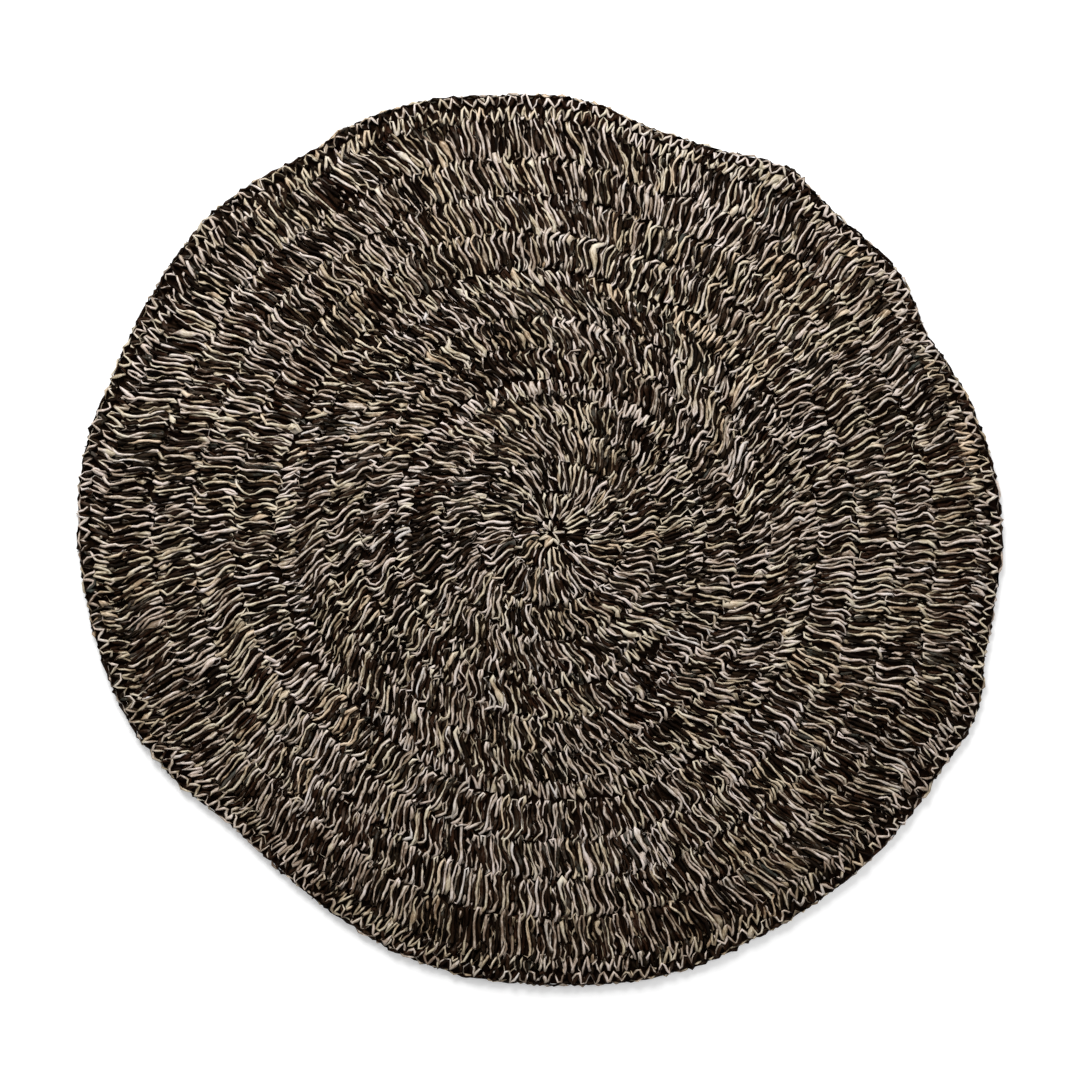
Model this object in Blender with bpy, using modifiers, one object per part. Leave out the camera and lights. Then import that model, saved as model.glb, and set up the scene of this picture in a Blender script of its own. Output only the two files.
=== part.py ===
"""A round rug crocheted from two-ply seagrass rope, lying flat.

The rug is one mat, worked in rounds from the middle out, so it is one solid: a flat underside, a
rounded rim with the hand-made outline, and a top face in which each round stands up as a rib.
The origin is the middle of the first round, on the underside. Sizes are in metres, +Z is up.
"""

import math

import bmesh
import bpy
import numpy as np

# Driving sizes
MEAN_RADIUS = 0.500
ROPE_THICKNESS = 0.0065
MAT_HEIGHT = 2 * ROPE_THICKNESS
UNDERSIDE_RADIUS = MEAN_RADIUS - 0.75 * ROPE_THICKNESS

# Steps round the circle, and where the flat underside is divided into a disc and a ring
STEPS = 90
UNDERSIDE_RING = UNDERSIDE_RADIUS / 2
MERGE_DISTANCE = 0.00005
SMOOTH_BELOW = math.radians(40)

# Hand-made unevenness of the top face: how much it rises and falls, and how often going round
SWELL = 0.0005
SWELLS_ROUND = 7
SWELLS_OUT = 9

# The groove between two rounds and the crowns of a round, by its kind of stitch: how deep its
# groove is, and the shares of its width at which its crown has full height
STITCHES = {
    "tall": {"groove": 0.0030, "crowns": (0.27, 0.73)},
    "short": {"groove": 0.0022, "crowns": (0.50,)},
}

# The rounds from the middle out: stitch, and the radius of the round's outer edge
ROUNDS = (
    ("tall", 0.042),
    ("tall", 0.080),
    ("tall", 0.118),
    ("tall", 0.156),
    ("short", 0.171),
    ("tall", 0.205),
    ("tall", 0.241),
    ("tall", 0.278),
    ("short", 0.295),
    ("tall", 0.338),
    ("tall", 0.380),
    ("tall", 0.422),
    ("tall", 0.470),
    ("short", 0.485),
    ("short", MEAN_RADIUS),
)

# The outline: degrees anticlockwise from +X seen from above, and the radius there.
# The last round ends in the step near 338 degrees, and the rim is drawn in near 29 and 77.
OUTLINE = (
    (0, 0.503),
    (8, 0.498),
    (22, 0.483),
    (29, 0.473),
    (33, 0.481),
    (50, 0.477),
    (57, 0.485),
    (63, 0.471),
    (77, 0.465),
    (85, 0.482),
    (96, 0.490),
    (114, 0.506),
    (124, 0.503),
    (132, 0.515),
    (160, 0.519),
    (170, 0.528),
    (188, 0.524),
    (203, 0.516),
    (213, 0.502),
    (221, 0.485),
    (238, 0.487),
    (254, 0.502),
    (270, 0.504),
    (285, 0.510),
    (300, 0.506),
    (315, 0.510),
    (328, 0.509),
    (338, 0.515),
    (344, 0.504),
)

# The rim from the top of the last round to the underside: degrees above the horizontal
RIM_ANGLES = (60, 25, -15, -50)

ROPE_COLOUR = (0.095, 0.072, 0.052, 1.0)
ROPE_ROUGHNESS = 0.78


def outline_radius(degrees):
    """Radius of the rug's edge at an angle: a smooth closed curve through the outline's points."""
    angles, radii = np.array(OUTLINE).T
    # Two points from each end are repeated a turn away, so that the curve closes smoothly
    angles = np.concatenate([angles[-2:] - 360, angles, angles[:2] + 360])
    radii = np.concatenate([radii[-2:], radii, radii[:2]])
    slopes = np.gradient(radii, angles)
    at = np.asarray(degrees) % 360
    before = np.searchsorted(angles, at, side="right") - 1
    span = angles[before + 1] - angles[before]
    share = (at - angles[before]) / span
    rise = radii[before + 1] - radii[before]
    ease = share**2 * (3 - 2 * share)
    leave = slopes[before] * span * share * (1 - share) ** 2
    arrive = slopes[before + 1] * span * share**2 * (1 - share)
    return radii[before] + rise * ease + leave - arrive


def rib_profile():
    """Radius and height along the top face, from the middle to the crown of the last round."""
    points = [(0.0, MAT_HEIGHT - STITCHES["tall"]["groove"])]
    inner = 0.0
    for stitch, outer in ROUNDS:
        for crown in STITCHES[stitch]["crowns"]:
            points.append((inner + crown * (outer - inner), MAT_HEIGHT))
        if outer < MEAN_RADIUS:
            points.append((outer, MAT_HEIGHT - STITCHES[stitch]["groove"]))
        inner = outer
    return points


def rim_profile():
    """Radius and height round the rim, from the last round's crown down to the underside."""
    half_height = MAT_HEIGHT / 2
    points = []
    for degrees in RIM_ANGLES:
        angle = math.radians(degrees)
        out = MEAN_RADIUS - half_height + half_height * math.cos(angle)
        points.append((out, half_height + half_height * math.sin(angle)))
    points.append((UNDERSIDE_RADIUS, 0.0))
    points.append((UNDERSIDE_RING, 0.0))
    points.append((0.0, 0.0))
    return points


def turned_blank():
    """The rug as a true circle: its profile, turned by a Screw modifier and made a mesh."""
    profile = rib_profile() + rim_profile()
    mesh = bpy.data.meshes.new("rug_profile")
    mesh.from_pydata(
        [(radius, 0.0, height) for radius, height in profile],
        [(index, index + 1) for index in range(len(profile) - 1)],
        [],
    )
    guide = bpy.data.objects.new("rug_profile", mesh)
    bpy.context.scene.collection.objects.link(guide)
    screw = guide.modifiers.new("turn", "SCREW")
    screw.axis = "Z"
    screw.angle = math.tau
    screw.steps = STEPS
    screw.render_steps = STEPS
    screw.use_merge_vertices = True
    screw.merge_threshold = MERGE_DISTANCE
    graph = bpy.context.evaluated_depsgraph_get()
    blank = bpy.data.meshes.new_from_object(guide.evaluated_get(graph))
    bpy.data.objects.remove(guide)
    bpy.data.meshes.remove(mesh)
    return blank


def shape_by_hand(mesh):
    """Gives the turned blank the rug's uneven outline and the slight swell of its top face."""
    points = np.empty(len(mesh.vertices) * 3)
    mesh.vertices.foreach_get("co", points)
    points = points.reshape(-1, 3)
    radius = np.hypot(points[:, 0], points[:, 1])
    angle = np.arctan2(points[:, 1], points[:, 0])
    reach = radius / MEAN_RADIUS
    # The outline's bumps fade towards the middle, so the first rounds are nearly true circles
    grow = 1 + (outline_radius(np.degrees(angle)) / MEAN_RADIUS - 1) * reach
    swell = SWELL * np.sin(SWELLS_ROUND * angle + SWELLS_OUT * reach) * reach
    on_top = points[:, 2] > MAT_HEIGHT / 2
    points[:, :2] *= grow[:, None]
    points[on_top, 2] += swell[on_top]
    mesh.vertices.foreach_set("co", points.ravel())
    mesh.update()


def seagrass():
    """The rope as seen from a step away: tan and black plies together, matt and a little waxy."""
    material = bpy.data.materials.new("seagrass")
    material.use_nodes = True
    shader = material.node_tree.nodes["Principled BSDF"]
    shader.inputs["Base Color"].default_value = ROPE_COLOUR
    shader.inputs["Roughness"].default_value = ROPE_ROUGHNESS
    shader.inputs["Metallic"].default_value = 0.0
    return material


def make_rug():
    """The rug: the blank shaped, its faces turned outwards, in a collection of its own."""
    mesh = turned_blank()
    mesh.name = "rug"
    shape_by_hand(mesh)
    shell = bmesh.new()
    shell.from_mesh(mesh)
    bmesh.ops.recalc_face_normals(shell, faces=shell.faces)
    shell.to_mesh(mesh)
    shell.free()
    mesh.shade_smooth()
    mesh.set_sharp_from_angle(angle=SMOOTH_BELOW)
    mesh.materials.append(seagrass())
    rug = bpy.data.objects.new("rug", mesh)
    collection = bpy.data.collections.new("round_rug")
    bpy.context.scene.collection.children.link(collection)
    collection.objects.link(rug)


def main():
    """Clears the scene and makes the rug."""
    for thing in list(bpy.data.objects):
        bpy.data.objects.remove(thing)
    make_rug()


main()
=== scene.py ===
"""Looks of the round seagrass rug: every stitch as rope, on a pale floor seen from straight above.

The rope is two plies laid together, one of pale tan leaf and one dyed black. A round of tall
stitches is one closed length of it, led through its stitches by a short table. The other rounds are
two lengths each, one on the front of the mat and one on its back, and the loops along the edge are
one more. Metres, +Z up.
"""

import math

import bpy
import numpy as np
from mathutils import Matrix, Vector


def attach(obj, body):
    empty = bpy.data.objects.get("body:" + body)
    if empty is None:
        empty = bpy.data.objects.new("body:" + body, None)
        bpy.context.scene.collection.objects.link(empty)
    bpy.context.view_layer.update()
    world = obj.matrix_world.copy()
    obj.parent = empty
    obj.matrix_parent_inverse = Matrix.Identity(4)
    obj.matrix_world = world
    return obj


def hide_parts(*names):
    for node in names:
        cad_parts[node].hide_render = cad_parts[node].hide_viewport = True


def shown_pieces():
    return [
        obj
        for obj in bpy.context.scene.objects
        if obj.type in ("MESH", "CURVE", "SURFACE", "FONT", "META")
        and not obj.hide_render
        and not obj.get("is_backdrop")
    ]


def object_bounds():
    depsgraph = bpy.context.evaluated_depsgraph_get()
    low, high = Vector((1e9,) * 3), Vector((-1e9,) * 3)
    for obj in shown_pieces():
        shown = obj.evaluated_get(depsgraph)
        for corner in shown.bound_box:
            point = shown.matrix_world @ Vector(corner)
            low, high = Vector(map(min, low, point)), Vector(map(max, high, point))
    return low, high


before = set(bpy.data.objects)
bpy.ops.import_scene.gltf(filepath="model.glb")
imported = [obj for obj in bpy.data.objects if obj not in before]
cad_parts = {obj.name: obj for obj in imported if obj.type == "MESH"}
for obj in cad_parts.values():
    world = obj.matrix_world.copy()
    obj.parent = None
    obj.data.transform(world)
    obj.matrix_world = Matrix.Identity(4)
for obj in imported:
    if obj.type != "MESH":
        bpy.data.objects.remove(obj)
CAD_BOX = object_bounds()

bl_info = {
    "name": "Round seagrass rug",
    "version": (1, 0, 0),
    "blender": (4, 5, 0),
    "location": "View3D > Sidebar > Seagrass Rug",
    "description": "Crochets the rope of a round seagrass rug and sets its stage",
    "category": "Object",
}

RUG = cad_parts["rug"]
MEAN_RADIUS = 0.500
SEED = 7

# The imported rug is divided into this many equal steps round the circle
OUTLINE_STEPS = 90

# The rounds from the middle out: stitch, radius of the outer edge, width of one stitch, how far the
# stitches lean from radial in degrees, share of them that cross, how far the rope strays to its
# sides, and how much the stitches bend in an S
ROUNDS = (
    ("short", 0.015, 0.0105, 0, 0.00, 0.0007, 0.00),
    ("tall", 0.042, 0.0088, 0, 0.15, 0.0008, 0.10),
    ("tall", 0.080, 0.0078, 16, 0.20, 0.0009, 0.15),
    ("tall", 0.118, 0.0082, 21, 0.25, 0.0010, 0.25),
    ("tall", 0.156, 0.0088, 30, 0.25, 0.0010, 0.30),
    ("short", 0.171, 0.0098, 14, 0.00, 0.0007, 0.00),
    ("tall", 0.205, 0.0098, 23, 0.25, 0.0010, 0.30),
    ("tall", 0.241, 0.0098, 31, 0.25, 0.0010, 0.30),
    ("tall", 0.278, 0.0098, 28, 0.25, 0.0009, 0.25),
    ("short", 0.295, 0.0098, 20, 0.00, 0.0007, 0.00),
    ("tall", 0.338, 0.0094, 7, 0.20, 0.0007, 0.20),
    ("tall", 0.380, 0.0090, 10, 0.15, 0.0006, 0.12),
    ("tall", 0.422, 0.0094, 10, 0.15, 0.0006, 0.10),
    ("tall", 0.470, 0.0100, 10, 0.10, 0.0005, 0.08),
    ("short", 0.485, 0.0100, -14, 0.00, 0.0006, 0.00),
    ("edge", 0.498, 0.0134, 0, 0.00, 0.0006, 0.00),
)

# Ways of the rope through one stitch, a row for each point that it passes. leg: -1 left leg,
# 1 right leg, 0 neither; along: place along the round, in stitches; up: place across the round,
# 0 at its inner edge and 1 at its outer; layer: height in rope thicknesses; facing: the side of
# the rope that looks out, in degrees in the upright plane through the middle (90 up, 0 outwards);
# pale: how surely the tan ply lies on that side, or the black ply below 0, which also paints the tan
# ply paler at the raised loops, as painted light, and darker in the low middle of a stitch, as
# painted shade
TALL_STITCH = (
    (0, -0.53, 0.98, 0.80, 300, 0.0),
    (0, -0.46, 1.10, 1.25, 60, 0.9),
    (0, -0.33, 1.02, 1.60, 90, 1.0),
    (-1, 0.21, 0.90, 1.54, 90, 0.9),
    (-1, 0.25, 0.74, 1.46, 90, 0.4),
    (-1, 0.25, 0.50, 1.43, 90, 0.2),
    (-1, 0.25, 0.26, 1.48, 90, 0.4),
    (-1, 0.20, 0.09, 1.50, 90, 0.8),
    (0, 0.00, 0.02, 1.44, 100, 0.7),
    (1, 0.20, 0.09, 1.44, 90, 0.2),
    (1, 0.25, 0.26, 1.40, 90, -0.5),
    (1, 0.25, 0.50, 1.32, 90, -0.85),
    (1, 0.25, 0.76, 1.36, 90, -0.5),
    (1, 0.21, 0.92, 1.38, 90, 0.2),
    (1, 0.05, 1.02, 1.18, 60, 0.6),
    (0, -0.06, 1.00, 0.74, 300, 0.0),
    (0, 0.03, 0.90, 0.52, 280, 0.3),
    (0, 0.12, 0.45, 0.48, 270, 0.2),
    (0, 0.20, 0.02, 0.52, 265, 0.4),
    (0, 0.32, -0.02, 0.52, 265, 0.4),
    (0, 0.38, 0.45, 0.48, 270, 0.0),
    (0, 0.44, 0.92, 0.52, 280, 0.2),
)
SHORT_FRONT = (
    (0, -0.50, 1.10, 1.40, 75, 0.8),
    (0, -0.27, 0.45, 1.54, 90, 0.7),
    (0, -0.06, -0.14, 1.50, 95, 0.4),
    (0, 0.06, -0.14, 1.48, 95, 0.3),
    (0, 0.27, 0.45, 1.50, 90, 0.6),
)
EDGE_FRONT = (
    (0, -0.50, 0.92, 1.32, 75, 0.5),
    (0, -0.27, 0.45, 1.50, 90, 0.5),
    (0, 0.00, -0.02, 1.44, 95, 0.5),
    (0, 0.27, 0.45, 1.50, 90, 0.4),
)
SHORT_BACK = (
    (0, -0.50, 1.00, 0.56, 280, 0.4),
    (0, -0.25, 0.45, 0.50, 270, 0.4),
    (0, 0.00, -0.05, 0.54, 265, 0.4),
    (0, 0.25, 0.45, 0.50, 270, 0.4),
)
EDGE_LOOPS = (
    (0, -0.50, 0.93, 1.25, 70, 0.3),
    (0, -0.20, 1.01, 0.95, 40, 0.3),
    (0, 0.00, 1.03, 0.70, 0, 0.2),
    (0, 0.20, 0.98, 0.85, 30, 0.3),
)

# How unevenly the hand works: spreads along the round in stitches, up it in its heights and off the
# mat in rope thicknesses, first of a whole stitch and then of each point in it. A stitch leans by
# its own spread about a place between its ends. Facing is in degrees
ALONG_SPREAD = (0.05, 0.035)
UP_SPREAD = (0.045, 0.025)
HIGH_SPREAD = (0.07, 0.04)
LEAN_SPREAD = 0.07
LEAN_ABOUT = 0.4
BEND_SPREAD = 0.08
FACING_SPREAD = 8
PALE_SPREAD = 0.20

# How the lean, in degrees, and the bend of neighbouring stitches change together: over how many
# stitches, and by how much
LEAN_DRIFT = (12, 8)
BEND_DRIFT = (9, 0.6)

# The stitches of a round are counted at this share of its height, and are no fewer than this
COUNTED_AT = 0.6
FEWEST_STITCHES = 8

# Two crossing legs pass each other at this height over and under their layer, and the rope stays
# between these heights, in rope thicknesses, and outside the smallest radius
CROSSING_LIFT = 0.26
LOWEST = 0.42
HIGHEST = 2.0
SMALLEST_RADIUS = 0.003

# Where a stitch turns its black side out, it is turned this far, in degrees. It is done only on the
# front of the mat, above this layer
TURNED_BY = 150
FRONT_LAYER = 1.2


def smooth(share):
    """Eases a share from 0 to 1."""
    return share * share * (3 - 2 * share)


def closed_noise(rng, places, knots, amount):
    """Smooth noise at places from 0 to 1 on a closed line, with that many knots on it."""
    knots = max(3, int(knots))
    values = rng.normal(0, amount, knots)
    at = places * knots
    before = at.astype(int)
    ease = smooth(at - before)
    return values[before % knots] * (1 - ease) + values[(before + 1) % knots] * ease


def unit(vectors):
    """The vectors at a length of one."""
    return vectors / np.maximum(np.linalg.norm(vectors, axis=1), 1e-9)[:, None]


def rug_outline():
    """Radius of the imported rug's edge at equal steps round the circle, from +X anticlockwise."""
    points = np.array([vertex.co for vertex in RUG.data.vertices])
    radius = np.hypot(points[:, 0], points[:, 1])
    step = np.round(np.arctan2(points[:, 1], points[:, 0]) / math.tau * OUTLINE_STEPS)
    widest = np.zeros(OUTLINE_STEPS)
    np.maximum.at(widest, step.astype(int) % OUTLINE_STEPS, radius)
    return widest


OUTLINE = rug_outline()


def edge_radius(angle):
    """Radius of the rug's edge at an angle: a smooth curve through the steps of its outline."""
    at = (np.asarray(angle) / math.tau * OUTLINE_STEPS) % OUTLINE_STEPS
    before = at.astype(int)
    share = at - before
    left, here, there, right = (OUTLINE[(before + move) % OUTLINE_STEPS] for move in (-1, 0, 1, 2))
    return catmull_rom(left, here, there, right, share)


def catmull_rom(left, here, there, right, share):
    """A smooth curve from here to there, given the points on both sides."""
    return 0.5 * (
        2 * here
        + (there - left) * share
        + (2 * left - 5 * here + 4 * there - right) * share**2
        + (3 * here - left - 3 * there + right) * share**3
    )


def with_outline(radius, angle):
    """A radius on a true circle moved to the hand-made outline, less and less towards the middle."""
    return radius * (1 + (edge_radius(angle) / MEAN_RADIUS - 1) * radius / MEAN_RADIUS)


class RugRope(bpy.types.PropertyGroup):
    """Sizes of the rope and its stitches."""

    thickness: bpy.props.FloatProperty(
        name="Rope thickness", description="Thickness of the rope pulled tight", default=0.0065,
        unit="LENGTH",
    )
    tan_radius: bpy.props.FloatProperty(
        name="Tan ply", description="Radius of the pale leaf ply", default=0.00148, unit="LENGTH"
    )
    black_radius: bpy.props.FloatProperty(
        name="Black ply", description="Radius of the dyed ply", default=0.00195, unit="LENGTH"
    )
    turning: bpy.props.FloatProperty(
        name="Turning", description="How unevenly the plies turn round each other",
        default=math.radians(130), subtype="ANGLE",
    )
    step: bpy.props.FloatProperty(
        name="Step", description="Length of one segment of a ply", default=0.0055, unit="LENGTH"
    )
    tan_sides: bpy.props.IntProperty(
        name="Tan sides", description="Sides of the pale ply", default=5, min=3
    )
    black_sides: bpy.props.IntProperty(
        name="Black sides", description="Sides of the dyed ply", default=4, min=3
    )
    frays: bpy.props.FloatProperty(
        name="Frayed leaf", description="Frayed strips of leaf for each metre of rope", default=6.0,
        min=0,
    )


def plan_round(rng, stitch, inner, outer, pitch, lean=0, crossed=0, bend=0, hidden=0, pressed=0):
    """The points that the rope of one round passes, with the way it faces and how pale it shows.

    hidden is the share of stitches that turn their black side out at their ends, and pressed is
    what a short round that presses on the outer ends adds to it.
    """
    leg, along, up, layer, facing, pale = np.array(stitch).T
    height = outer - inner
    rows = len(leg)
    count = max(FEWEST_STITCHES, round(math.tau * (inner + COUNTED_AT * height) / pitch))
    stitches = np.arange(count)[:, None]
    places = np.arange(count) / count
    is_leg = leg != 0
    crosses = rng.random((count, 1)) < crossed
    over = rng.choice([-1.0, 1.0], (count, 1))
    own_lean = rng.normal(0, LEAN_SPREAD, (count, 1))
    rise = np.clip(up, 0, 1)
    swing = np.where(crosses, np.cos(math.pi * rise), 1.0)
    lift = np.where(crosses & is_leg, over * leg * CROSSING_LIFT * np.sin(math.pi * rise), 0.0)
    place = stitches + np.where(is_leg, leg * along * swing, along)
    place = place + own_lean * (up - LEAN_ABOUT) * is_leg
    place = place + rng.normal(0, ALONG_SPREAD[0], (count, 1))
    place = place + rng.normal(0, ALONG_SPREAD[1], (count, rows))
    reach = up + rng.normal(0, UP_SPREAD[1], (count, rows))
    reach = reach + rng.normal(0, UP_SPREAD[0], (count, 1))
    high = layer + lift + rng.normal(0, HIGH_SPREAD[0], (count, 1)) * is_leg
    high = high + rng.normal(0, HIGH_SPREAD[1], (count, rows))
    bends = bend * (1 + closed_noise(rng, places, count / BEND_DRIFT[0], BEND_DRIFT[1]))
    bends = bends + rng.normal(0, BEND_SPREAD, count)
    leans = lean + closed_noise(rng, places, count / LEAN_DRIFT[0], LEAN_DRIFT[1])
    sway = np.tan(np.radians(leans))[:, None] * (reach - 0.5)
    sway = sway - bends[:, None] * np.sin(math.tau * reach) / math.tau
    start = rng.uniform(0, math.tau)
    angle = start + place / count * math.tau + sway * height / ((inner + outer) / 2)
    # The inner end, the outer ends of both legs and the join over them, each with its own share
    ends = (
        (up < 0.15, 1.1 * hidden),
        ((up > 0.7) & (leg < 0), 0.5 * hidden + pressed),
        ((up > 0.7) & (leg > 0), 0.7 * hidden + pressed),
        (up > 0.9, 0.4 * hidden + pressed),
    )
    turned = np.zeros((count, rows), bool)
    for end, share in ends:
        turned = turned | (rng.random((count, 1)) < share) & end & (layer > FRONT_LAYER)
    face = facing + np.where(turned, TURNED_BY, 0) + rng.normal(0, FACING_SPREAD, (count, rows))
    face = np.radians(face)
    pale = np.where(turned, 0, pale) + rng.normal(0, PALE_SPREAD, (count, rows))
    pale = np.clip(pale, -1, 1)
    radius = np.maximum(inner + reach * height, SMALLEST_RADIUS)
    columns = (angle, radius, high, face, pale)
    angle, radius, high, face, pale = (column.ravel() for column in columns)
    radius = with_outline(radius, angle)
    out_x = np.cos(angle)
    out_y = np.sin(angle)
    return np.stack(
        [
            radius * out_x,
            radius * out_y,
            np.clip(high, LOWEST, HIGHEST),
            np.cos(face) * out_x,
            np.cos(face) * out_y,
            np.sin(face),
            pale,
        ],
        axis=1,
    )


# Leaf frays out of the rope above the first height, on the front of the mat. Below the second the
# rope lies at the back, where its steps are longer by this factor
FRONT_HEIGHT = 0.0085
BACK_HEIGHT = 0.0072
BACK_STEP = 2.4

# The curve between two points of a plan is measured in this many pieces
CURVE_PIECES = 6


def lay_rope(points, rope):
    """A smooth closed line through the points of a plan, in steps that are longer at the back.

    Gives the line, the way it faces, how pale it shows, the length up to each point, and in all.
    """
    points = points * np.array((1, 1, rope.thickness, 1, 1, 1, 1))
    around = [np.roll(points, -move, axis=0)[None] for move in (-1, 0, 1, 2)]
    share = (np.arange(CURVE_PIECES) / CURVE_PIECES)[:, None, None]
    line = catmull_rom(*around, share).transpose(1, 0, 2).reshape(-1, points.shape[1])
    line = np.vstack([line, line[:1]])
    length = np.concatenate([[0], np.cumsum(np.linalg.norm(np.diff(line[:, :3], axis=0), axis=1))])
    per_step = 1 / np.where(line[:, 2] > BACK_HEIGHT, rope.step, BACK_STEP * rope.step)
    steps = np.concatenate([[0], np.cumsum(0.5 * (per_step[1:] + per_step[:-1]) * np.diff(length))])
    count = int(steps[-1])
    at = np.interp(np.arange(count) / count * steps[-1], steps, length)
    laid = np.stack([np.interp(at, length, column) for column in line.T], axis=1)
    return laid[:, :3], laid[:, 3:6], laid[:, 6], at, length[-1]


def directions(points, facing):
    """To the side of the closed line and out of it, at each point."""
    ahead = unit(np.roll(points, -1, axis=0) - np.roll(points, 1, axis=0))
    side = unit(np.cross(ahead, facing))
    return side, np.cross(side, ahead)


# The places of the two plies' materials on a piece
TAN = 0
BLACK = 1

# In the map for baked colours a face is this much longer along its ply than across it, and this
# share of a face is left free between two rows
MAP_LENGTHWAYS = 3
MAP_GAP = 0.5


class PlyMesh:
    """Collects the closed tubes of one piece, with what their materials read, and makes its mesh."""

    def __init__(self):
        self.corners = 0
        self.points = []
        self.faces = []
        self.kinds = []
        self.tones = []
        self.fibres = []
        self.strips = []

    def add(self, centre, across, through, wide, thick, kind, tone, tint, along, sides, rings=0):
        """Adds a closed tube, or four-sided tubes of that many rings with ends, if rings are given.

        centre is its line, across and through are the directions in which it is wide and thick,
        kind is the place of its material, and along is the length up to each point.
        """
        count = len(centre)
        turn = np.arange(sides) / sides * math.tau
        out = np.cos(turn)[None, :, None] * (wide[:, None] * across)[:, None, :]
        out = out + np.sin(turn)[None, :, None] * (thick[:, None] * through)[:, None, :]
        ring = np.arange(count)[:, None]
        side = np.arange(sides)[None, :]
        first = ring * sides
        following = (first + sides) % (count * sides)
        beside = (side + 1) % sides
        corners = [first + side, first + beside, following + beside, following + side]
        faces = np.stack(corners, axis=2)
        used = np.ones((count, sides), bool)
        # From the last ring of a tube no sides go on to the next tube, and two of those close its ends
        if rings:
            last = slice(rings - 1, None, rings)
            start = faces[::rings, :, 0]
            end = faces[last, :, 0]
            faces[last, 0] = start[:, ::-1]
            faces[last, 1] = end
            used[last, 2:] = False
        skin = np.stack(
            [
                np.broadcast_to(along[:, None], (count, sides)),
                np.cos(turn)[None, :] * wide[:, None],
                np.sin(turn)[None, :] * thick[:, None],
            ],
            axis=2,
        )
        self.points.append((centre[:, None, :] + out).reshape(-1, 3))
        self.faces.append(faces[used] + self.corners)
        self.kinds.append(np.full(int(used.sum()), kind))
        self.tones.append(np.repeat(np.stack([tone, tint], axis=1), sides, axis=0))
        self.fibres.append(skin.reshape(-1, 3))
        self.strips.append(used)
        self.corners += count * sides

    def bake_map(self):
        """Each tube's faces in rows of a square, so that every face keeps an area of its own."""
        cells = sum(used.size for used in self.strips)
        columns = max(8, int(math.sqrt(cells / MAP_LENGTHWAYS)))
        rows = [(-(-len(used) // columns), used.shape[1] + MAP_GAP) for used in self.strips]
        tall = 1 / sum(count * height for count, height in rows)
        maps = []
        top = 0.0
        for used, (count, height) in zip(self.strips, rows):
            ring = np.arange(len(used))
            down = top + (ring // columns)[:, None] * height + np.arange(used.shape[1])
            left = np.repeat((ring % columns)[:, None], used.shape[1], axis=1) / columns
            right = left + 1 / columns
            low, high = down * tall, (down + 1) * tall
            corners = [(left, low), (left, high), (right, high), (right, low)]
            squares = np.stack([np.stack(corner, axis=2) for corner in corners], axis=2)
            maps.append(squares[used].reshape(-1, 2))
            top += count * height
        return np.concatenate(maps)

    def build(self, name, materials):
        """Makes the piece, with nothing of it below the floor."""
        points, faces, kinds = (np.concatenate(part) for part in (self.points, self.faces, self.kinds))
        points[:, 2] = np.maximum(points[:, 2], 0)
        mesh = bpy.data.meshes.new(name)
        mesh.vertices.add(len(points))
        mesh.vertices.foreach_set("co", points.ravel().astype(np.float32))
        mesh.loops.add(faces.size)
        mesh.loops.foreach_set("vertex_index", faces.ravel().astype(np.int32))
        mesh.polygons.add(len(faces))
        mesh.polygons.foreach_set("loop_start", (np.arange(len(faces)) * 4).astype(np.int32))
        mesh.polygons.foreach_set("material_index", kinds.astype(np.int32))
        mesh.polygons.foreach_set("use_smooth", np.ones(len(faces), bool))
        for material in materials:
            mesh.materials.append(material)
        tones = np.concatenate(self.tones)
        for column, label in enumerate(("tone", "tint")):
            mesh.attributes.new(label, "FLOAT", "POINT").data.foreach_set(
                "value", tones[:, column].astype(np.float32)
            )
        fibre = mesh.attributes.new("fibre", "FLOAT_VECTOR", "POINT")
        fibre.data.foreach_set("vector", np.concatenate(self.fibres).ravel().astype(np.float32))
        mesh.update(calc_edges=True)
        layer = mesh.uv_layers.new(name="OFBake")
        layer.data.foreach_set("uv", self.bake_map().ravel().astype(np.float32))
        piece = bpy.data.objects.new(name, mesh)
        bpy.context.scene.collection.objects.link(piece)
        return piece


# The leaf is painted darker towards -Y, as painted shade, outside the first radius, fully so from the
# width further on, and paler within the middle one, each by so many tones
PAINTED_SHADE_FROM = 0.39
PAINTED_SHADE_WIDTH = 0.05
PAINTED_SHADE_TONES = 1.1
MIDDLE_RADIUS = 0.10
MIDDLE_TONES = 0.7


def painted_shade_and_paler_middle(points):
    """How many tones darker the leaf is painted: painted shade most in the outer rounds towards -Y,
    paler in the middle.
    """
    radius = np.hypot(points[:, 0], points[:, 1])
    outer = smooth(np.clip((radius - PAINTED_SHADE_FROM) / PAINTED_SHADE_WIDTH, 0, 1))
    middle = smooth(np.clip(1 - radius / MIDDLE_RADIUS, 0, 1))
    towards = (0.5 - 0.5 * points[:, 1] / np.maximum(radius, 0.01)) ** 2
    return PAINTED_SHADE_TONES * outer * towards - MIDDLE_TONES * middle


# Changes along the rope: over what length each comes and goes, in metres, and how large it is.
# Tone is from dark to pale and tint from grey to ochre
STRAY_LENGTH = 0.012
TURN_LENGTH = 0.014
SLOW_TURNS = ((0.30, 0.6),)
LEAFY_PLACES = ((0.020, 1),)
SWELLS = ((0.011, 0.25),)
WOBBLES = ((0.015, 0.00035),)
TONES = ((0.028, 0.4), (0.010, 0.7), (0.90, 0.35))
TINTS = ((0.016, 0.5), (0.12, 0.9), (0.90, 0.6))

# The tan ply: its width and thickness as shares of its radius, how far it turns under where the
# black ply lies on top, and how strongly it keeps to the top or the bottom of the rope
TAN_WIDE = 1.05
TAN_THICK = 0.90
UNDER = math.radians(150)
KEEPS = 0.35


def changes(rng, places, length, steps, times):
    """As many values as asked that change smoothly along the rope, each by all of the steps."""
    values = [0.0] * times
    for over, amount in steps:
        values = [value + closed_noise(rng, places, length / over, amount) for value in values]
    return values


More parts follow.
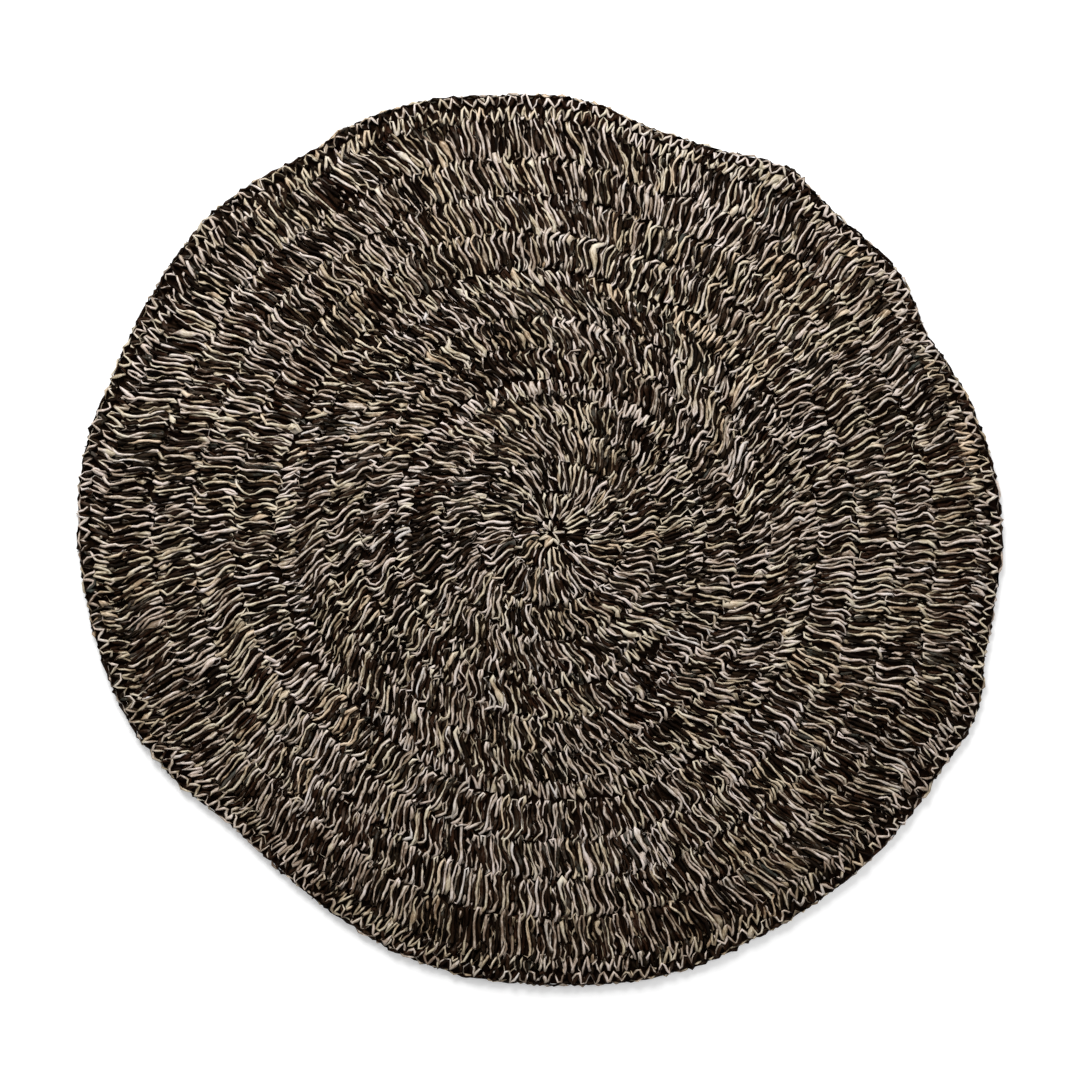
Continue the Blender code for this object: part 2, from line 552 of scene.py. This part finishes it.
def add_rope(mesh, rng, rope, plan, stray, uneven=1.0, tight=1.0, twist=0.0):
    """Lays the two plies of one closed length of rope along its plan and frays leaf out of it.

    stray is how far the rope strays to its sides, uneven and tight are shares of the rope's own
    turning and thickness, and twist is the length of one turn of a rope that is twisted evenly.
    """
    points, facing, pale, at, length = lay_rope(plan, rope)
    places = at / length
    side, out = directions(points, facing)
    points = points + side * closed_noise(rng, places, length / STRAY_LENGTH, stray)[:, None]
    side, out = directions(points, facing)
    turning = closed_noise(rng, places, length / TURN_LENGTH, rope.turning * uneven)
    turning = turning + changes(rng, places, length, SLOW_TURNS, 1)[0]
    turning = turning * (1 - 0.5 * np.abs(pale)) + UNDER * np.maximum(-pale, 0)
    if twist:
        turning = turning * 0.5 + math.tau * round(length / twist) * places
    turning = turning - KEEPS * np.sin(2 * turning)
    # Where the tan ply is turned under, it is pressed thinner
    shown = 0.76 + 0.24 * np.cos(turning)
    towards = np.sin(turning)[:, None] * side + np.cos(turning)[:, None] * out
    across = np.cos(turning)[:, None] * side - np.sin(turning)[:, None] * out
    # In a few places a strip of leaf lies open, broad and flat
    leafy = smooth(np.clip((changes(rng, places, length, LEAFY_PLACES, 1)[0] - 1.2) / 0.8, 0, 1))
    swell = [1 + value for value in changes(rng, places, length, SWELLS, 4)]
    tan_wide = tight * rope.tan_radius * TAN_WIDE * shown * swell[0] * (1 + 1.2 * leafy)
    tan_thick = tight * rope.tan_radius * TAN_THICK * shown * swell[1] * (1 - 0.25 * leafy)
    black_wide = tight * rope.black_radius * swell[2]
    black_thick = tight * rope.black_radius * swell[3]
    wobble = np.stack(changes(rng, places, length, WOBBLES, 6), axis=1)
    tones = changes(rng, places, length, TONES, 2)
    # The tan tone is painted: paler where pale is high, at the raised loops, as painted light, darker
    # in the low middles of stitches, as painted shade, and darker towards -Y in the outer rounds, as
    # painted shade
    tones[0] = tones[0] + 1.0 * (pale - 0.4) - painted_shade_and_paler_middle(points)
    tints = changes(rng, places, length, TINTS, 2)
    mesh.add(
        points + towards * black_thick[:, None] + wobble[:, :3],
        across, towards, tan_wide, tan_thick, TAN, tones[0], tints[0] + leafy, at, rope.tan_sides,
    )
    mesh.add(
        points - towards * tan_thick[:, None] + wobble[:, 3:],
        across, towards, black_wide, black_thick, BLACK, tones[1], tints[1], at, rope.black_sides,
    )
    if not twist:
        add_frays(mesh, rng, rope, points, side, out, at)


# A frayed strip of leaf: how it narrows towards its ends, its shortest and longest, how far it lies
# beside the rope and over it, its narrowest and widest, and the most that it is thick
FRAY_SHAPE = (0.25, 0.85, 1.0, 0.80, 0.20)
FRAY_RINGS = len(FRAY_SHAPE)
FRAY_SIDES = 4
FRAY_LENGTHS = (0.006, 0.022)
FRAY_BESIDE = 0.0022
FRAY_ABOVE = (0.0010, 0.0028)
FRAY_DROOP = 0.0012
FRAY_WIDTHS = (0.0005, 0.0013)
FRAY_THICK = 0.0006

# The middle and spread of the strips' tones and tints
FRAY_TONES = (-0.5, 0.9)
FRAY_TINTS = (0.3, 0.8)

# A few of the strips are broad, paler and browner: their share, widths, and added tone and tint
BROAD_SHARE = 0.06
BROAD_WIDTHS = (0.0014, 0.0022)
BROAD_TONE = 0.6
BROAD_TINT = 0.8


def add_frays(mesh, rng, rope, points, side, out, at):
    """Short strips of leaf that have frayed out of the rope and lie beside it, on the front."""
    front = np.flatnonzero(points[:, 2] > FRONT_HEIGHT)
    count = int(len(front) * rope.step * rope.frays)
    if not count:
        return
    start = at[rng.choice(front, count)]
    reach = rng.uniform(*FRAY_LENGTHS, count)
    share = np.linspace(0, 1, FRAY_RINGS)[None, :]
    along = start[:, None] + reach[:, None] * share
    beside = rng.normal(0, FRAY_BESIDE, (count, 1))
    beside = beside + rng.normal(0, FRAY_BESIDE, (count, 1)) * (share - 0.5)
    above = rng.uniform(*FRAY_ABOVE, (count, 1)) - FRAY_DROOP * (2 * share - 1) ** 2
    along, beside, above = along.ravel(), beside.ravel(), above.ravel()
    centre = np.stack([np.interp(along, at, column) for column in points.T], axis=1)
    sideways = unit(np.stack([np.interp(along, at, column) for column in side.T], axis=1))
    upwards = unit(np.stack([np.interp(along, at, column) for column in out.T], axis=1))
    centre = centre + sideways * beside[:, None] + upwards * above[:, None]
    broad = rng.random(count) < BROAD_SHARE
    width = np.where(broad, rng.uniform(*BROAD_WIDTHS, count), rng.uniform(*FRAY_WIDTHS, count))
    wide = (width[:, None] * np.array(FRAY_SHAPE)).ravel()
    thick = np.minimum(wide, FRAY_THICK)
    tone = np.repeat(rng.normal(*FRAY_TONES, count) + BROAD_TONE * broad, FRAY_RINGS)
    tint = np.repeat(rng.normal(*FRAY_TINTS, count) + BROAD_TINT * broad, FRAY_RINGS)
    mesh.add(centre, sideways, upwards, wide, thick, TAN, tone, tint, along, FRAY_SIDES, FRAY_RINGS)


# The rope of the loops along the edge: how far it strays, and the length of one turn of its plies
EDGE_STRAY = 0.0005
EDGE_TWIST = 0.022

# The share of stitches in a short round that turn their black side out, how unevenly its rope turns,
# and what a short round adds to that share in the tall round that it presses on
SHORT_HIDDEN = 0.15
SHORT_UNEVEN = 1.1
PRESSED = 0.3


def make_round(index, rope, materials):
    """Crochets one round of the rug and gives it to the rug's body."""
    kind, outer, pitch, lean, crossed, stray, bend = ROUNDS[index]
    inner = ROUNDS[index - 1][1] if index else 0.0
    rng = np.random.default_rng([SEED, index])
    mesh = PlyMesh()
    # The rope is pulled tightest in the middle of the rug. Its plies turn most unevenly, and most
    # often show black at the ends of stitches, about a fifth of the way out
    tight = min(1.0, 0.84 + outer)
    if kind == "tall":
        hidden = min(0.1 + 3 * outer, 0.34 - 0.3 * outer)
        uneven = min(0.6 + 4 * outer, 1.1 - 0.75 * outer)
        pressed = PRESSED if ROUNDS[index + 1][0] == "short" else 0
        plan = plan_round(rng, TALL_STITCH, inner, outer, pitch, lean, crossed, bend, hidden, pressed)
        add_rope(mesh, rng, rope, plan, stray, uneven, tight)
    else:
        for stitch in (EDGE_FRONT if kind == "edge" else SHORT_FRONT, SHORT_BACK):
            plan = plan_round(rng, stitch, inner, outer, pitch, lean, hidden=SHORT_HIDDEN)
            add_rope(mesh, rng, rope, plan, stray, SHORT_UNEVEN, tight)
    give_to_rug(mesh.build(f"round_{index + 1:02d}_{kind}", materials))


def give_to_rug(piece):
    """The piece is attached to the rug's body, so that it lies still with the rug."""
    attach(piece, "root")


class Wire:
    """A value or colour in a material's nodes. Operators on it add the Math nodes they need."""

    def __init__(self, material, socket):
        self.material = material
        self.socket = socket

    def math(self, operation, first, second):
        """The outcome of one Math node."""
        return self.material.node("ShaderNodeMath", {"operation": operation}, {0: first, 1: second})

    def __add__(self, other):
        return self.math("ADD", self, other)

    def __radd__(self, other):
        return self.math("ADD", other, self)

    def __sub__(self, other):
        return self.math("SUBTRACT", self, other)

    def __rsub__(self, other):
        return self.math("SUBTRACT", other, self)

    def __mul__(self, other):
        return self.math("MULTIPLY", self, other)

    def __rmul__(self, other):
        return self.math("MULTIPLY", other, self)


class Finish:
    """A material being made on the Principled shader."""

    def __init__(self, name):
        self.made = bpy.data.materials.new(name)
        self.made.use_nodes = True
        self.tree = self.made.node_tree
        self.shader = self.tree.nodes["Principled BSDF"]

    def node(self, kind, settings=None, inputs=None, output=0):
        """Adds a node, with its settings first and then the values or links of its sockets."""
        added = self.tree.nodes.new(kind)
        for name, value in (settings or {}).items():
            if name == "stops":
                set_ramp(added.color_ramp, value)
            else:
                setattr(added, name, value)
        for name, value in (inputs or {}).items():
            self.feed(added.inputs[name], value)
        return Wire(self, added.outputs[output])

    def feed(self, socket, value):
        """Links a socket or sets its value."""
        if isinstance(value, Wire):
            self.tree.links.new(value.socket, socket)
        else:
            socket.default_value = value

    def set(self, **sockets):
        """Feeds the shader's own sockets, named with underscores."""
        for name, value in sockets.items():
            self.feed(self.shader.inputs[name.replace("_", " ")], value)

    def attribute(self, name, output="Fac"):
        """What PlyMesh noted at the points of a ply."""
        return self.node("ShaderNodeAttribute", {"attribute_name": name}, output=output)

    def ramp(self, value, low, high, stops):
        """Colours by a value between low and high."""
        share = self.node("ShaderNodeMapRange", {}, {"Value": value, "From Min": low, "From Max": high})
        return self.node("ShaderNodeValToRGB", {"stops": stops}, {"Fac": share})

    def range(self, value, low, high, to_low, to_high):
        """A value between low and high brought between two others."""
        sockets = {"Value": value, "From Min": low, "From Max": high}
        return self.node("ShaderNodeMapRange", {}, {**sockets, "To Min": to_low, "To Max": to_high})

    def multiply(self, first, second):
        """Two colours multiplied."""
        settings = {"data_type": "RGBA", "blend_type": "MULTIPLY"}
        return self.node("ShaderNodeMix", settings, {0: 1.0, 6: first, 7: second}, output=2)


def set_ramp(ramp, stops):
    """Gives a colour ramp its stops: place and colour."""
    while len(ramp.elements) < len(stops):
        ramp.elements.new(0.5)
    for element, (place, colour) in zip(ramp.elements, stops):
        element.position = place
        element.color = (*colour, 1)


class RugColours(bpy.types.PropertyGroup):
    """Colours of the rope and the floor."""

    tan: bpy.props.FloatVectorProperty(
        name="Tan leaf", description="Main colour of the pale ply", default=(0.585, 0.484, 0.402),
        subtype="COLOR", min=0, max=1,
    )
    grey: bpy.props.FloatVectorProperty(
        name="Grey leaf", description="Colour of the greyest leaf in the pale ply",
        default=(0.55, 0.484, 0.413), subtype="COLOR", min=0, max=1,
    )
    ochre: bpy.props.FloatVectorProperty(
        name="Ochre leaf", description="Colour of the brownest leaf in the pale ply",
        default=(0.585, 0.438, 0.29), subtype="COLOR", min=0, max=1,
    )
    black: bpy.props.FloatVectorProperty(
        name="Black leaf", description="Main colour of the dyed ply", default=(0.0128, 0.0058, 0.0026),
        subtype="COLOR", min=0, max=1,
    )
    floor: bpy.props.FloatVectorProperty(
        name="Floor", description="Colour of the floor", default=(0.90, 0.90, 0.90),
        subtype="COLOR", min=0, max=1,
    )


def shade(colour, share):
    """The colour made darker or paler."""
    return tuple(min(1.0, channel * share) for channel in colour)


def warmer(colour, red, green, blue):
    """The colour with each of its channels changed by a share."""
    return (colour[0] * red, colour[1] * green, colour[2] * blue)


def leaf_noise(finish, along, across, detail):
    """Noise in the leaf of a ply, 0 to 1, with that many changes to the metre along and across it."""
    stretched = finish.node(
        "ShaderNodeVectorMath",
        {"operation": "MULTIPLY"},
        {0: finish.attribute("fibre", "Vector"), 1: (along, across, across)},
    )
    return finish.node(
        "ShaderNodeTexNoise",
        {"noise_dimensions": "3D"},
        {"Vector": stretched, "Scale": 1.0, "Detail": detail, "Roughness": 0.6},
    )


def fibre_streaks(finish):
    """Fine streaks that run along a ply, as the leaf's fibres do."""
    return leaf_noise(finish, 70.0, 1300.0, 3.0)


def fibre_bump(finish, streaks):
    """Normal of a surface on which the streaks stand up as fibres."""
    sockets = {"Strength": 0.5, "Distance": 0.0005, "Height": streaks}
    return finish.node("ShaderNodeBump", {}, sockets)


def flecks(finish):
    """Short paler and darker flecks, where the leaf folds over in the twist."""
    return leaf_noise(finish, 300.0, 560.0, 2.0)


def splits(finish):
    """Long darker splits between the strips of leaf in a ply."""
    return leaf_noise(finish, 110.0, 800.0, 1.0)


# Tones and tints run from minus to plus this, in the tan leaf and in the black
TAN_SPAN = 2.2
BLACK_SPAN = 2.0

# How many tones the streaks, the flecks, the splits and the painted light on top of the leaf are
# worth, and how far up a face has to look to be painted paler
TAN_STREAKS = 2.4
TAN_FLECKS = 6.5
TAN_SPLITS = 5.0
TAN_PAINTED_LIGHT = 1.6
PAINTED_LIGHT_ABOVE = 0.70
BLACK_STREAKS = 2.2
BLACK_FLECKS = 4.0

# The tan leaf from its darkest places at 0 to its palest at 1: what its colour is multiplied by
LEAF_TONES = (
    (0.00, (0.30, 0.24, 0.19)),
    (0.25, (0.53, 0.485, 0.43)),
    (0.50, (0.81, 0.795, 0.775)),
    (0.75, (1.03, 1.05, 1.11)),
    (1.00, (1.18, 1.245, 1.39)),
)


def tan_leaf(colours):
    """Pale seagrass leaf: tan, greener or redder in places, with painted light on top and painted shade
    at its sides.
    """
    finish = Finish("tan_leaf")
    streaks = fibre_streaks(finish)
    normal = finish.node("ShaderNodeNewGeometry", output="Normal")
    # Faces that look up are painted paler and faces at the sides darker: painted light and painted
    # shade
    painted_top_light = finish.node("ShaderNodeSeparateXYZ", {}, {"Vector": normal}, output="Z") - PAINTED_LIGHT_ABOVE
    folds = (flecks(finish) - 0.5) * TAN_FLECKS + (splits(finish) - 0.5) * TAN_SPLITS
    tone = finish.attribute("tone") + (streaks - 0.5) * TAN_STREAKS + folds + painted_top_light * TAN_PAINTED_LIGHT + 0.1
    tan = tuple(colours.tan)
    hues = (
        (0.0, tuple(colours.grey)),
        (0.30, warmer(tan, 1.01, 0.985, 0.98)),
        (0.50, warmer(tan, 1.0, 1.01, 0.99)),
        (0.68, warmer(tan, 0.98, 1.02, 0.87)),
        (1.0, tuple(colours.ochre)),
    )
    hue = finish.ramp(finish.attribute("tint"), -TAN_SPAN, TAN_SPAN, hues)
    light = finish.ramp(tone, -TAN_SPAN, TAN_SPAN, LEAF_TONES)
    finish.set(
        Base_Color=finish.multiply(hue, light),
        Roughness=finish.range(streaks, 0.3, 0.7, 0.36, 0.54),
        Specular_IOR_Level=0.45,
        Normal=fibre_bump(finish, streaks),
    )
    return finish.made


def black_leaf(colours):
    """Leaf dyed black, with a little brown left in it and a green or red cast in places."""
    finish = Finish("black_leaf")
    streaks = fibre_streaks(finish)
    folds = (flecks(finish) - 0.5) * BLACK_FLECKS
    tone = finish.attribute("tone") + (streaks - 0.5) * BLACK_STREAKS + folds
    black = tuple(colours.black)
    stops = (
        (0.0, shade(black, 0.2)),
        (0.45, shade(black, 0.8)),
        (0.72, shade(black, 2.2)),
        (1.0, shade(tuple(colours.tan), 0.13)),
    )
    casts = ((0.0, (0.72, 0.98, 1.0)), (0.5, (0.88, 0.88, 0.84)), (1.0, (1.0, 0.78, 0.66)))
    light = finish.ramp(tone, -BLACK_SPAN, BLACK_SPAN, stops)
    cast = finish.ramp(finish.attribute("tint"), -BLACK_SPAN, BLACK_SPAN, casts)
    finish.set(
        Base_Color=finish.multiply(light, cast),
        Roughness=finish.range(streaks, 0.3, 0.7, 0.52, 0.70),
        Specular_IOR_Level=0.05,
        Normal=fibre_bump(finish, streaks),
    )
    return finish.made


def packed_rope_and_shade(colours):
    """The inside of the mat, where the rope lies packed, painted dark: partly the black rope and partly
    painted shade.
    """
    finish = Finish("packed_rope_and_shade")
    place = finish.node("ShaderNodeNewGeometry", output="Position")
    clumps = finish.node(
        "ShaderNodeTexNoise",
        {"noise_dimensions": "3D"},
        {"Vector": place, "Scale": 400.0, "Detail": 3.0},
    )
    black = tuple(colours.black)
    stops = ((0.0, shade(black, 0.4)), (1.0, shade(black, 1.3)))
    colour = finish.ramp(clumps, 0.3, 0.8, stops)
    finish.set(Base_Color=colour, Roughness=0.9, Specular_IOR_Level=0.05)
    return finish.made


def rope_materials(colours):
    """The finishes of the two plies, made once."""
    made = [bpy.data.materials.get(name) for name in ("tan_leaf", "black_leaf")]
    return [made[0] or tan_leaf(colours), made[1] or black_leaf(colours)]


# The ground inside the mat, painted dark, partly as packed rope and partly as painted shade: how far it
# stays inside the edge, the heights of its two faces, and how finely it is divided
GROUND_INSET = 0.0022
GROUND_LOW = 0.0040
GROUND_HIGH = 0.0056
GROUND_RINGS = 12
GROUND_STEPS = 180


def make_ground(colours):
    """The thin closed sheet of packed rope, painted dark as painted shade, that shows between the
    stitches.

    Each face has its middle point first and then its rings, and a wall joins the two last rings.
    """
    turn = np.arange(GROUND_STEPS) / GROUND_STEPS * math.tau
    verts, faces = [], []
    for height in (GROUND_LOW, GROUND_HIGH):
        verts.append((0.0, 0.0, height))
        for ring in range(1, GROUND_RINGS + 1):
            radius = (edge_radius(turn) - GROUND_INSET) * ring / GROUND_RINGS
            heights = np.full(GROUND_STEPS, height)
            verts += list(zip(radius * np.cos(turn), radius * np.sin(turn), heights))
    layer = 1 + GROUND_RINGS * GROUND_STEPS
    for level in range(2):
        base = level * layer
        for step in range(GROUND_STEPS):
            beside = (step + 1) % GROUND_STEPS
            corners = [(base, base + 1 + step, base + 1 + beside)]
            for ring in range(GROUND_RINGS - 1):
                inner, outer = (base + 1 + (ring + more) * GROUND_STEPS for more in (0, 1))
                corners.append((inner + step, outer + step, outer + beside, inner + beside))
            faces += corners if level else [tuple(reversed(face)) for face in corners]
    low, high = (1 + (GROUND_RINGS - 1) * GROUND_STEPS + level * layer for level in range(2))
    for step in range(GROUND_STEPS):
        beside = (step + 1) % GROUND_STEPS
        faces.append((low + step, low + beside, high + beside, high + step))
    mesh = bpy.data.meshes.new("ground")
    mesh.from_pydata(verts, [], faces)
    mesh.materials.append(packed_rope_and_shade(colours))
    piece = bpy.data.objects.new("ground", mesh)
    bpy.context.scene.collection.objects.link(piece)
    give_to_rug(piece)
    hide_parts("rug")


class RugStage(bpy.types.PropertyGroup):
    """Camera and light."""

    lens: bpy.props.FloatProperty(
        name="Lens", description="Focal length of the camera", default=100.0, unit="CAMERA"
    )
    fill: bpy.props.FloatProperty(
        name="Rug in picture", description="Share of the picture's width that the rug takes",
        default=0.86, subtype="FACTOR",
    )
    key: bpy.props.FloatProperty(
        name="Key light", description="Power of the main light", default=126.0, unit="POWER"
    )
    soft: bpy.props.FloatProperty(
        name="Fill light", description="Power of the second light", default=25.0, unit="POWER"
    )
    sky: bpy.props.FloatProperty(
        name="Room light", description="Strength of the light from all round", default=0.32
    )


# The lights' places and sizes, the floor's width, and how bright the floor and the room are: at the
# horizon, and up to the height at which the light is the room's
KEY_PLACE = (-0.8, 2.5, 1.95)
KEY_SIZE = 1.8
SOFT_PLACE = (2.2, 0.6, 2.2)
SOFT_SIZE = 2.0
FLOOR_SIZE = 60.0
FLOOR_GLOW = 0.3
HORIZON_LIGHT = 0.85
HORIZON_HEIGHT = 0.35


def area_light(name, place, size, power):
    """A soft square light that points at the rug."""
    light = bpy.data.lights.new(name, "AREA")
    light.size = size
    light.energy = power
    lamp = bpy.data.objects.new(name, light)
    lamp.location = place
    lamp.rotation_euler = (-Vector(place)).to_track_quat("-Z", "Y").to_euler()
    bpy.context.scene.collection.objects.link(lamp)


def make_floor(colours):
    """A plain pale floor."""
    bpy.ops.mesh.primitive_plane_add(size=FLOOR_SIZE)
    floor = bpy.context.object
    floor.name = "floor"
    finish = Finish("floor_paint")
    finish.set(
        Base_Color=(*colours.floor, 1),
        Roughness=0.9,
        Specular_IOR_Level=0.1,
        Emission_Color=(1, 1, 1, 1),
        Emission_Strength=FLOOR_GLOW,
    )
    floor.data.materials.append(finish.made)
    floor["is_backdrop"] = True


def make_camera(stage):
    """Looks straight down, as the photo does, from far enough to show no perspective."""
    low, high = CAD_BOX
    width = max(high.x - low.x, high.y - low.y) / stage.fill
    data = bpy.data.cameras.new("camera")
    data.lens = stage.lens
    camera = bpy.data.objects.new("camera", data)
    centre = (low + high) / 2
    camera.location = (centre.x, centre.y, high.z + width * stage.lens / data.sensor_width)
    bpy.context.scene.collection.objects.link(camera)
    bpy.context.scene.camera = camera


def make_world(stage):
    """Even light from all round, brighter at the horizon, where it shows behind the floor."""
    world = bpy.data.worlds.new("room")
    world.use_nodes = True
    nodes, links = world.node_tree.nodes, world.node_tree.links
    place = nodes.new("ShaderNodeTexCoord")
    split = nodes.new("ShaderNodeSeparateXYZ")
    fade = nodes.new("ShaderNodeMapRange")
    fade.inputs["From Max"].default_value = HORIZON_HEIGHT
    fade.inputs["To Min"].default_value = HORIZON_LIGHT
    fade.inputs["To Max"].default_value = stage.sky
    links.new(place.outputs["Generated"], split.inputs[0])
    links.new(split.outputs["Z"], fade.inputs["Value"])
    links.new(fade.outputs[0], nodes["Background"].inputs["Strength"])
    nodes["Background"].inputs["Color"].default_value = (1, 1, 1, 1)
    bpy.context.scene.world = world


class RUG_OT_ground(bpy.types.Operator):
    """Make the ground inside the mat, dark with painted shade"""

    bl_idname = "seagrass_rug.ground"
    bl_label = "Ground"

    def execute(self, context):
        make_ground(context.scene.rug_colours)
        return {"FINISHED"}


class RUG_OT_tall_rounds(bpy.types.Operator):
    """Crochet the rounds of tall stitches"""

    bl_idname = "seagrass_rug.tall_rounds"
    bl_label = "Tall rounds"

    def execute(self, context):
        materials = rope_materials(context.scene.rug_colours)
        for index, row in enumerate(ROUNDS):
            if row[0] == "tall":
                make_round(index, context.scene.rug_rope, materials)
        return {"FINISHED"}


class RUG_OT_short_rounds(bpy.types.Operator):
    """Crochet the rounds of short stitches"""

    bl_idname = "seagrass_rug.short_rounds"
    bl_label = "Short rounds"

    def execute(self, context):
        materials = rope_materials(context.scene.rug_colours)
        for index, row in enumerate(ROUNDS):
            if row[0] != "tall":
                make_round(index, context.scene.rug_rope, materials)
        return {"FINISHED"}


class RUG_OT_edge(bpy.types.Operator):
    """Crochet the loops along the edge"""

    bl_idname = "seagrass_rug.edge"
    bl_label = "Edge loops"

    def execute(self, context):
        rope = context.scene.rug_rope
        rng = np.random.default_rng([SEED, len(ROUNDS)])
        inner, outer, pitch = ROUNDS[-2][1], *ROUNDS[-1][1:3]
        plan = plan_round(rng, EDGE_LOOPS, inner, outer, pitch)
        mesh = PlyMesh()
        add_rope(mesh, rng, rope, plan, EDGE_STRAY, twist=EDGE_TWIST)
        give_to_rug(mesh.build("edge_loops", rope_materials(context.scene.rug_colours)))
        return {"FINISHED"}


class RUG_OT_stage(bpy.types.Operator):
    """Set the floor, the lights and the camera"""

    bl_idname = "seagrass_rug.stage"
    bl_label = "Stage"

    def execute(self, context):
        stage = context.scene.rug_stage
        make_floor(context.scene.rug_colours)
        area_light("key_light", KEY_PLACE, KEY_SIZE, stage.key)
        area_light("fill_light", SOFT_PLACE, SOFT_SIZE, stage.soft)
        make_world(stage)
        make_camera(stage)
        context.scene.view_settings.view_transform = "Standard"
        return {"FINISHED"}


class RUG_PT_panel(bpy.types.Panel):
    """Lists the steps that make the rug"""

    bl_idname = "RUG_PT_panel"
    bl_label = "Seagrass Rug"
    bl_space_type = "VIEW_3D"
    bl_region_type = "UI"
    bl_category = "Seagrass Rug"

    def draw(self, context):
        for group in (context.scene.rug_rope, context.scene.rug_colours, context.scene.rug_stage):
            box = self.layout.box()
            for name in group.__annotations__:
                box.prop(group, name)
        for operator in OPERATORS:
            self.layout.operator(operator.bl_idname)


OPERATORS = (RUG_OT_ground, RUG_OT_tall_rounds, RUG_OT_short_rounds, RUG_OT_edge, RUG_OT_stage)
GROUPS = {"rug_rope": RugRope, "rug_colours": RugColours, "rug_stage": RugStage}
CLASSES = (*GROUPS.values(), *OPERATORS, RUG_PT_panel)


def register():
    """Registers the classes and the settings."""
    for added in CLASSES:
        bpy.utils.register_class(added)
    for name, group in GROUPS.items():
        setattr(bpy.types.Scene, name, bpy.props.PointerProperty(type=group))


def unregister():
    """Takes the settings and the classes away."""
    for name in GROUPS:
        delattr(bpy.types.Scene, name)
    for added in reversed(CLASSES):
        bpy.utils.unregister_class(added)


def declare_sheet():
    """The rug is one sheet of rope, laid flat: works out the area inside its edge, and makes nothing of
    it.
    """
    turn = np.arange(GROUND_STEPS) / GROUND_STEPS * math.tau
    area = float((edge_radius(turn) ** 2).mean() * math.pi)


def main():
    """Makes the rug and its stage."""
    register()
    for operator in OPERATORS:
        group, name = operator.bl_idname.split(".")
        getattr(getattr(bpy.ops, group), name)()
    declare_sheet()
    bpy.context.view_layer.update()


if __name__ == "__main__":
    main()
